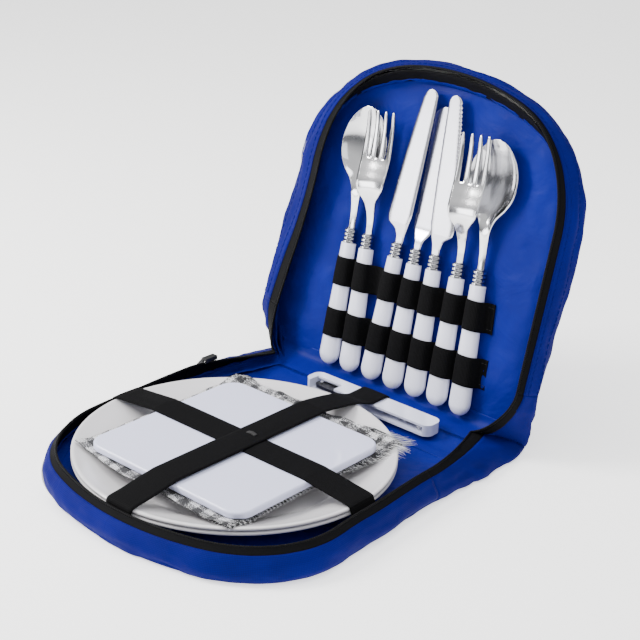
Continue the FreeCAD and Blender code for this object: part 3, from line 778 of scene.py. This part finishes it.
def build_panels():
    """Flat faces of the case: linings inside and cloth outside."""
    for key, under, bottom in (("base", "bottom", -0.72), ("lid", "back", -3.95)):
        tray = TRAYS[key]
        for name, part, inset, height, back, nodes in (
                (f"{key}_floor_lining", "lining", 7.5, 1.2, 1.5, ()),
                (f"{key}_{under}_cloth", "cloth", 6.0, bottom, 0.5, (f"{key}_outer_panel",))):

            def lift(point, share):
                x, y, z = point
                edge = ease((1 - share) / 0.12)
                ripple = waver(6, x / 34, y / 30) + 0.5 * waver(7, x / 12, y / 13)
                if key == "lid" and part == "lining":
                    clear = ease((abs(x - 5) - 62) / 18) + ease((y - 195) / 15) + 0.28
                    z += edge * min(clear, 1.0) * (0.9 + 2.1 * ripple)
                elif part == "lining":
                    z += edge * ease((math.hypot(x, y - 112.5) - 103) / 8) * (0.7 + ripple)
                elif key == "lid":
                    z -= edge * 0.9 * (0.4 + ripple)
                return placed(tray, x, y, z)
            rim = closed_rim(tray, inset, height, back)
            mesh = joined_mesh([fan_rows(rim, 46, lift)])
            piece = place_piece(name, mesh, *FINISH[part][:2], nodes=nodes)
            keep_fan(piece, len(rim))
            spread_flat(piece, tray)
            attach(piece, f"{key}_tray")


def keep_fan(piece, count):
    """Drops the face that would close the fan's outer rim."""
    work = bmesh.new()
    work.from_mesh(piece.data)
    wide = [face for face in work.faces if len(face.verts) == count
            and face.calc_area() > 1e-3]
    bmesh.ops.delete(work, geom=wide, context="FACES")
    bmesh.ops.recalc_face_normals(work, faces=work.faces)
    work.to_mesh(piece.data)
    work.free()


def spread_flat(piece, tray):
    """Cloth distances for a flat panel: its own X and Y."""
    back = tray["matrix"].inverted()
    layer = piece.data.attributes["flat"].data
    for vertex in piece.data.vertices:
        place = back @ (vertex.co / MM)
        layer[vertex.index].vector = (place.x * MM, place.y * MM, 0)


def build_spine():
    """Lining and outer cloth of the spine strip, in two halves."""
    up = math.sin(math.radians(12.7))
    on = math.cos(math.radians(12.7))
    split = 112.5 + on * 20
    inner = [(106, 2.6), (112, 3.0)]
    inner += [(112.5 + on * k, 2.1 + up * k) for k in (4, 10, 16, 20, 26, 32)]
    inner += [(147.4, 10.6), (150.2, 13.6), (151.6, 18.5)]
    outer = [(106, 0.5), (113, 0.5), (123, 1.6), (split, 3.6), (142, 5.7), (150, 7.9),
             (154.3, 10.8), (154.6, 15.5), (155.6, 21.0)]
    for title, path, part, folds, nodes in (
            ("spine_lining", inner, "lining", 0.5, ("spine_lining",)),
            ("spine_outer", outer, "cloth", 0.35, ("spine_panel",))):
        rows = [[Vector((x, *place)) for x in (-98 + 196 * k / 80 for k in range(81))]
                for place in spline(path, 70)]
        wrinkled = ruffled(rows, folds, 22, 9, 11)
        near = [row for row in wrinkled if row[0].y <= split + 1.5]
        far = [row for row in wrinkled if row[0].y >= split - 1.5]
        for half, strip, bodies, start, end, replaced in (
                ("front", near, ("base_tray", "spine"), (0, 108, 2), (0, 117, 2), nodes),
                ("back", far, ("spine", "lid_tray"), (0, 146, 8), (0, 152, 16), ())):
            piece = place_piece(f"{title}_{half}", grid_mesh(strip), *FINISH[part][:2],
                                nodes=replaced, thickness=0.5)
            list(bodies)
            metres(start)
            metres(end)
            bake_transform(piece)


# ======== plates, board and napkins

def build_plates():
    """Two dinner plates with a foot ring, a flat well and a wide sloping rim."""
    profile = [(0, 1.2), (30, 1.2), (61, 1.2), (62.6, 0.9), (63.2, 0.1), (65.6, 0.1),
               (66.4, 0.9), (70, 1.4), (77, 4.2), (88, 8.4), (96.5, 11.7), (99.6, 12.2),
               (100.8, 12.9), (100.9, 13.9), (100.2, 14.5), (99.0, 14.5), (97.6, 14.0),
               (94.5, 12.7), (86, 9.4), (76.5, 5.6), (71.5, 3.5), (67, 2.85), (40, 2.8), (0, 2.8)]
    chain = [(max(radius, 0.01), height) for radius, height in spline(profile, 150)]
    for name, body, floor in (("plate_lower", "lower_plate", 2.6),
                              ("plate_upper", "upper_plate", 5.6)):
        rows = [[Vector((radius * c, radius * s, floor + height)) for c, s in circle(160)]
                for radius, height in chain]
        place_piece(f"{name}_moulded", joined_mesh([rows]), "plate", "plate_plastic", body,
                    (name,))


NAPKIN = 270.0


def napkin_rows(level, turn, shift):
    """A square napkin folded in four: two folds, four layers, soft edges and a loose corner."""
    count = 96
    half = NAPKIN / 2
    rows = []
    for j in range(count + 1):
        v = NAPKIN * j / count
        row = []
        for i in range(count + 1):
            u = NAPKIN * i / count
            a = ease((u - half + 3) / 6)
            b = ease((v - half + 3) / 6)
            x = half - math.sqrt((u - half) ** 2 + 1.2) - 66.5
            y = half - math.sqrt((v - half) ** 2 + 1.2) - 66.5
            layer = a * (1 - b) + (3 - a) * b
            x += 1.1 * waver(level + 2 * layer, y / 30, layer) + 0.8 * layer
            y += 1.1 * waver(level + 9 + 2 * layer, x / 30, layer) + 0.6 * layer
            row.append(Vector((x, y, 0.2 * layer)))
        rows.append(row)
    spin = Matrix.Rotation(turn, 4, "Z")
    return [[loose(spin @ point + Vector(shift), level) for point in row] for row in rows]


def loose(point, level):
    """Lets the cloth outside the board lift, crumple and droop over the plate."""
    x, y, z = point
    behind = ease((y - 30) / 36)
    right = ease((x + y - 84) / 34)
    front = ease((x - y - 108) / 22)
    left = ease((-x - 20) / 40) * ease((-y - 40) / 24)
    crumple = waver(level + 3, x / 15, y / 9) + 0.5 * waver(level + 4, x / 6, y / 5)
    free = ease((max(abs(x - 3), abs(y + 3)) - 60) / 8)
    near = ease((-y - 44) / 22)
    x += 6.0 * right + 2.5 * front - 0.5 * left
    y += behind * (8.5 + 4.5 * waver(level + 8, x / 22, 0.4)) + 2.0 * right - 3.2 * front
    y -= 1.0 * left + near * (1 - left) * (6.0 + 2.5 * waver(level + 6, x / 19, 0.7))
    lift = free * (1.0 + 1.5 * crumple) * (0.45 + behind + 0.3 * near)
    lift += 1.3 * math.sin((x - y) / 3.2) * right
    rim = math.hypot(x, y)
    over = 3.0 * ease((rim - 88) / 10) - 9 * ease((rim - 102) / 9)
    return Vector((x, y, z + max(lift, over)))


def build_napkins():
    """Two folded check napkins between the plate and the board, with frayed edges."""
    for name, body, level, turn, shift in (
            ("napkin_lower", "lower_napkin", 0, math.pi / 2, (0.5, 0.5, 17.55)),
            ("napkin_upper", "upper_napkin", 1, math.pi, (-0.5, -0.5, 18.6))):
        rows = napkin_rows(level, turn, shift)
        piece = place_piece(f"{name}_cloth", grid_mesh(rows), "napkin", "napkin_cloth", body,
                            (name,))
        trim = place_piece(f"{name}_fringe", fringe_mesh(rows, level), "white_thread",
                           "napkin_cloth", body)


def thread_rows(start, way, length, seed, radius=0.13):
    """One loose thread that leaves the cloth and droops."""
    points = []
    for k in range(6):
        t = k / 5
        bend = Vector((waver(seed, t * 1.7, 0.2), waver(seed + 1, t * 1.9, 0.7), 0)) * 0.22
        points.append(start + (way + bend) * length * t + Vector((0, 0, -0.10 * length * t * t)))
    return tube_rows(points, lambda s: radius * (1 - 0.5 * s / (length * 1.2)), 4)


def fringe_mesh(rows, level):
    """Short threads along the raw edges, and long ones at the loose right corner."""
    parts = []
    edges = [rows[0], rows[-1], [row[0] for row in rows], [row[-1] for row in rows]]
    for number, edge in enumerate(edges):
        for k, point in enumerate(edge):
            x, y = point.xy
            if max(abs(x), abs(y)) < 62:
                continue
            way = Vector((math.copysign(1, x), 0, 0))
            if abs(x) <= abs(y):
                way = Vector((0, math.copysign(1, y), 0))
            seed = 31 + number * 7 + k * 0.37 + level
            corner = ease((x + y - 112) / 20)
            length = 1.5 + 1.1 * waver(seed, 0.4, k * 0.9)
            length += corner * (7 + 5 * waver(seed, 0.9, k * 1.3))
            if length > 0.8:
                way = (way + corner * Vector((0.5, 0.5, 0))).normalized()
                parts.append(thread_rows(point, way, length, seed))
    return joined_mesh(parts)


# ======== straps and loops

def ribbon_rows(chain, side):
    """Band along a chain, from its side to the other one, slightly crowned across."""
    rows = []
    for k in range(11):
        share = k / 10
        crown = 0.25 * (1 - (2 * share - 1) ** 2)
        rows.append([point + side * (1 - 2 * share)
                     + Vector((0, 0, crown + 0.12 * waver(4, i / 9, share * 2)))
                     for i, point in enumerate(chain)])
    return rows


def build_straps():
    """Two elastic straps that cross over the board, tacked together where they cross."""
    across = [(-104.8, 12.6), (-102.6, 17.6), (-101.4, 20.0), (-99.4, 21.6), (-86, 23.0),
              (-68, 24.9), (-60, 25.35), (-30, 25.4)]
    chain = spline([(x, 0, z) for x, z in across + [(-x, z) for x, z in across[::-1]]], 150)
    along = [(-105.3, 12.6), (-102.3, 16.8), (-101.5, 19.6), (-99.6, 21.5), (-88, 23.0),
             (-68, 26.0), (-60, 26.45), (-20, 26.5), (20, 26.5), (60, 26.45), (70, 26.0),
             (88, 23.3), (101.4, 20.6), (109, 17.6), (115.2, 15.85), (122, 15.75),
             (131, 15.7), (133.4, 14.4), (134.4, 11.5), (134.6, 8.2)]
    line = spline([(6, y, z) for y, z in along], 190)
    for name, path, side, fixed in (("strap_across", chain, Vector((0, 10.5, 0)), 0.0135),
                                    ("strap_along", line, Vector((-10.5, 0, 0)), 0.0076)):
        piece = place_piece(f"{name}_elastic", grid_mesh(ribbon_rows(path, side)), "band",
                            "elastic", "base_tray", (name,), thickness=0.8)
        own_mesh(piece)
    bars = [tube_rows(even([Vector((2.5, y, 27.2)), Vector((6, y + 0.4, 27.7)),
                            Vector((9.5, y, 27.2))], 0.7), 0.6, 6) for y in (7.0, 7.9, 8.8)]
    piece = place_piece("strap_tack", joined_mesh(bars), "black_thread", "elastic", "base_tray")
    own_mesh(piece)


# Name, place across and up the lid, lean to the left in degrees, and body.
SET = (("spoon_left", -49.3, 3.2, 1.9, "left_spoon"), ("fork_left", -30.4, 3.0, 3.9, "left_fork"),
       ("knife_left", -11.4, 3.4, -0.2, "left_knife"),
       ("spreader", 8.0, 3.0, 1.7, "middle_spreader"),
       ("knife_right", 27.2, 3.4, 3.6, "right_knife"), ("fork_right", 46.0, 3.2, 3.2, "right_fork"),
       ("spoon_right", 65.2, 3.0, 4.4, "right_spoon"))
HANDLE_DEPTH = 6.6
HANDLE_LENGTH = 88
HANDLE_HALF = 8.3
HANDLE_TAPER = 2.8
STEEL_START = 97.5


def build_loops():
    """Two rows of elastic, sewn down between the handles so that each lies in a loop."""
    arch = ((-0.74, 10.5), (-0.25, 12.0), (0.25, 12.0), (0.74, 10.5))
    for name, low in (("loop_row_lower", 24), ("loop_row_upper", 61)):
        rows = []
        for k in range(15):
            t = low + 20 * k / 14
            path = [(-61.5, 1.6), (-59.8, 3.6)]
            before = None
            for title, across, up, lean, body in SET:
                half = HANDLE_HALF + 0.5 - HANDLE_TAPER * (t - up) / HANDLE_LENGTH
                middle = across - (t - up) * math.tan(math.radians(lean))
                if before is not None:
                    path.append(((before + middle) / 2, 3.4))
                path.append((middle - half - 0.3, 6.4))
                path += [(middle + half * way, rise) for way, rise in arch]
                path.append((middle + half + 0.3, 6.4))
                before = middle
            end = path[-1][0]
            path += [(end + 1.2, 3.0), (end + 2.8, 1.9), (end + 6.4, 2.4)]
            edge = 0.25 * waver(8, k / 2, low)
            rows.append([LID @ Vector((x, t, depth + edge)) for x, depth in spline(path, 400)])
        place_piece(f"{name}_elastic", grid_mesh(rows), "band", "elastic", "lid_tray", (name,),
                    thickness=0.75)
        thread = []
        for line in (2, 12):
            thread += stitches([p + LID_IN * 0.45 for p in rows[line][-26:]], 1.6, 1.0, 0.2)
        place_piece(f"{name}_stitches", joined_mesh(thread), "black_thread", "elastic",
                    "lid_tray")


# ======== heads

def spoon_mesh(matrix):
    """Egg-shaped bowl that opens to the inside, on a tapering neck."""
    wide = table([(97.5, 2.4), (103, 2.3), (112, 2.5), (122, 3.5), (128, 5.0), (133, 7.6),
                  (139, 13.0), (146, 17.2), (154, 19.0), (162, 18.6), (170, 16.2), (176, 12.6),
                  (180, 8.8), (182.5, 5.4), (183.85, 2.2)])
    rim = table([(97.5, -0.4), (106, -0.2), (116, 0.9), (124, 2.2), (132, 2.8), (142, 2.9),
                 (160, 2.7), (176, 2.8), (184, 3.1)])
    deep = table([(97.5, 0.0), (118, 0.0), (125, 0.5), (131, 2.0), (138, 4.6), (146, 6.5),
                  (155, 7.2), (164, 6.6), (172, 4.9), (179, 2.1), (184, 0.0)])
    rows = []
    places = [STEEL_START + 58.5 * k / 60 for k in range(60)]
    places += [156 + 28 * math.sin(math.radians(84) * k / 26) for k in range(27)]
    for y in places:
        row = []
        for i in range(25):
            q = math.sin(math.pi / 2 * (i / 12 - 1))
            neck = 0.25 * (1 - q * q) * (1 - ease((y - 118) / 10))
            z = rim(y) - deep(y) * (1 - q * q) ** 0.9 + neck
            row.append(matrix @ Vector((wide(y) * q, y, z)))
        rows.append(row)
    return grid_mesh(rows)


def fork_mesh(matrix):
    """Dished palm and four tapered tines."""
    wide = table([(97.5, 2.4), (106, 2.5), (114, 3.3), (121, 5.2), (127, 9.5), (132, 11.4),
                  (140, 12.0), (151, 12.2)])
    height = table([(97.5, -0.4), (108, 0.4), (118, 2.8), (126, 5.6), (133, 6.6), (142, 5.3),
                    (151, 3.8), (162, 3.4), (174, 3.8), (184, 5.2)])
    half = 12.2
    tine = 4.1
    pitch = tine + (2 * half - 4 * tine) / 3
    columns = [k * pitch - half + tine * part for k in range(4) for part in (0, 0.33, 0.67, 1)]
    points = []
    faces = []
    flat = []

    def add_row(xs, y, scale, before):
        """Adds a row of points, and the faces between it and the row before."""
        row = []
        for x in xs:
            dish = 0.9 * (x / half) ** 2 * ease((y - 112) / 14)
            row.append(len(points))
            points.append(matrix @ Vector((x * scale, y, height(y) + dish)))
            flat.append((x, y))
        for (a, b), (c, d) in zip(zip(before, before[1:]), zip(row, row[1:])):
            faces.append((a, b, d, c))
        return row
    palm = []
    for j in range(53):
        y = STEEL_START + 53.5 * j / 52
        palm = add_row(columns, y, wide(y) / half, palm)
    for k in range(0, 16, 4):
        row = palm[k:k + 4]
        own = columns[k:k + 4]
        centre = (own[0] + own[3]) / 2
        for j in range(1, 21):
            narrow = 1 - 0.42 * j / 20
            if j > 17:
                narrow *= math.sqrt(max(1 - ((j - 17) / 3.2) ** 2, 0.02))
            xs = [centre + (x - centre) * narrow for x in own]
            row = add_row(xs, 151 + 32.5 * j / 20, 1.0, row)
    return clean_mesh(points, faces, flat)


def blade_mesh(matrix, left, right, bend, edge, teeth, tip, cap):
    """Blade with a ground edge, scalloped teeth between two places and a round tip.

    edge is the edge's side, tip the blade's end and cap the tip's middle and radius."""
    low, high = straight_table(left), straight_table(right)
    rows = []
    count = 300
    for j in range(count + 1):
        y = STEEL_START + (tip - STEEL_START) * (1 - (1 - j / count) ** 1.25)
        xs = [sum(f(y + d) for d in (-1.2, 0, 1.2)) / 3 for f in (low, high)]
        past = max(y - (tip - cap[1]), 0) / cap[1]
        reach = cap[1] * math.sqrt(max(1 - past * past, 0.001))
        if past:
            xs = [max(xs[0], cap[0] - reach), min(xs[1], cap[0] + reach)]
        bite = 1.0 * abs(math.sin(math.pi * y / 2.7)) if teeth[0] < y < teeth[1] else 0
        if edge < 0:
            xs[0] += bite
        else:
            xs[1] -= bite
        ring = []
        ground = ease((y - 108) / 8)
        for surface in (1, -1):
            for i in range(13):
                share = i / 12 if surface > 0 else 1 - i / 12
                from_edge = share if edge < 0 else 1 - share
                half = 0.72 - 0.3 * ground * (1 - ease(from_edge / 0.16))
                half *= 0.35 + 0.65 * ease(min(share, 1 - share) / 0.06)
                x = xs[0] + (xs[1] - xs[0]) * share
                ring.append(matrix @ Vector((x, y, bend(y) + surface * half)))
        rows.append(ring)
    return joined_mesh([rows])


def handle_mesh(matrix):
    """Oval handle that tapers to the collar, with a fully round end."""
    rows = []
    places = [9 - 9 * math.cos(math.radians(6 + 84 * k / 14)) for k in range(15)]
    places += [9 + 78.2 * k / 30 for k in range(1, 31)] + [87.8, HANDLE_LENGTH]
    for y in places:
        cap = math.sqrt(1 - (1 - y / 9) ** 2) if y < 9 else 1.0
        top = 0.93 if y > 87.9 else 1.0
        wide = (HANDLE_HALF - HANDLE_TAPER * y / HANDLE_LENGTH) * cap * top
        deep = (4.7 - 0.3 * y / HANDLE_LENGTH) * min(cap * 1.06, 1.0) * top
        rows.append([matrix @ Vector((wide * math.copysign(abs(c) ** 0.86, c), y,
                                      deep * math.copysign(abs(s) ** 0.9, s)))
                     for c, s in circle(36)])
    return joined_mesh([rows])


def collar_mesh(matrix):
    """Chrome collar of four flat rings with dark grooves between them."""
    rows = []
    for k in range(81):
        y = 87.6 + 10.8 * k / 80
        part = (y - 87.6) / 2.6 % 1.0
        radius = 3.0 + 1.6 * ease(min(part, 1 - part) / 0.26)
        rows.append([matrix @ Vector((radius * c, y, radius * s)) for c, s in circle(32)])
    return joined_mesh([rows])


# Outlines of the blades as (place along, place across).
KNIFE_BELLY = [(97, -2.4), (103, -2.7), (108.5, -5.2), (111, -10.9), (116, -12.2), (138, -10.6),
               (160, -8.4), (184, -5.6), (204.4, -2.6)]
KNIFE_SPINE = [(97, 3.4), (104, 4.0), (118, 7.2), (150, 7.9), (188, 8.1), (204.4, 8.0)]
SPREAD = [(97, 2.4), (104, 3.4), (112, 8.2), (118, 8.6), (195, 8.6)]


def flipped(pairs):
    return [(y, -x) for y, x in pairs]


def build_cutlery():
    """Seven pieces, each with an oval handle, a ribbed collar and a polished head."""
    knife_bend = table([(97, -0.1), (104, 0.1), (112, 1.1), (160, 1.4), (206, 1.5)])
    spread_bend = table([(97, -0.1), (104, -0.7), (112, -3.4), (122, -3.6), (200, -3.6)])
    blades = {
        "knife_left": (KNIFE_BELLY, KNIFE_SPINE, knife_bend, -1, (0, 0), 204.4, (2.7, 5.5)),
        "knife_right": (flipped(KNIFE_SPINE), flipped(KNIFE_BELLY), knife_bend, 1, (122, 200),
                        204.4, (-2.7, 5.5)),
        "spreader": (flipped(SPREAD), SPREAD, spread_bend, -1, (122, 186), 195.2, (0, 8.6)),
    }
    for name, across, up, lean, body in SET:
        matrix = (LID @ Matrix.Translation((across, up, HANDLE_DEPTH))
                  @ Matrix.Rotation(math.radians(lean), 4, "Z"))
        place_piece(f"{name}_grip", handle_mesh(matrix), "handle", "handle_plastic", body,
                    (f"{name}_handle",))
        place_piece(f"{name}_collar", collar_mesh(matrix), "chrome", "collar_chrome", body,
                    (f"{name}_ferrule",))
        if name in blades:
            mesh, finish, thickness = blade_mesh(matrix, *blades[name]), "satin", 0
        else:
            sheet = spoon_mesh if name.startswith("spoon") else fork_mesh
            mesh, finish, thickness = sheet(matrix), "mirror", 1.2
        place_piece(f"{name}_steel", mesh, finish, "polished_steel", body, (f"{name}_head",),
                    thickness)


# ======== solids that keep their shape

def finish_solids():
    """Every solid that stays gets a material with its own surface detail."""
    kept = {"stiffener": ("base_stiffener", "lid_stiffener"), "board": ("cutting_board",),
            "screw": ("corkscrew_body",), "dark_tool": ("corkscrew_lever",),
            "tool": ("corkscrew_worm", "lever_pin", "worm_pin"),
            "slider": ("zip_slider", "zip_pull")}
    for material, names in kept.items():
        for name in names:
            solid = frame["nodes"][name]
            for place in solid.material_slots:
                place.material = MATERIALS[material]


place_camera()
light_stage()
build_walls()
build_panels()
build_spine()
build_plates()
build_napkins()
build_straps()
build_loops()
build_cutlery()
finish_solids()
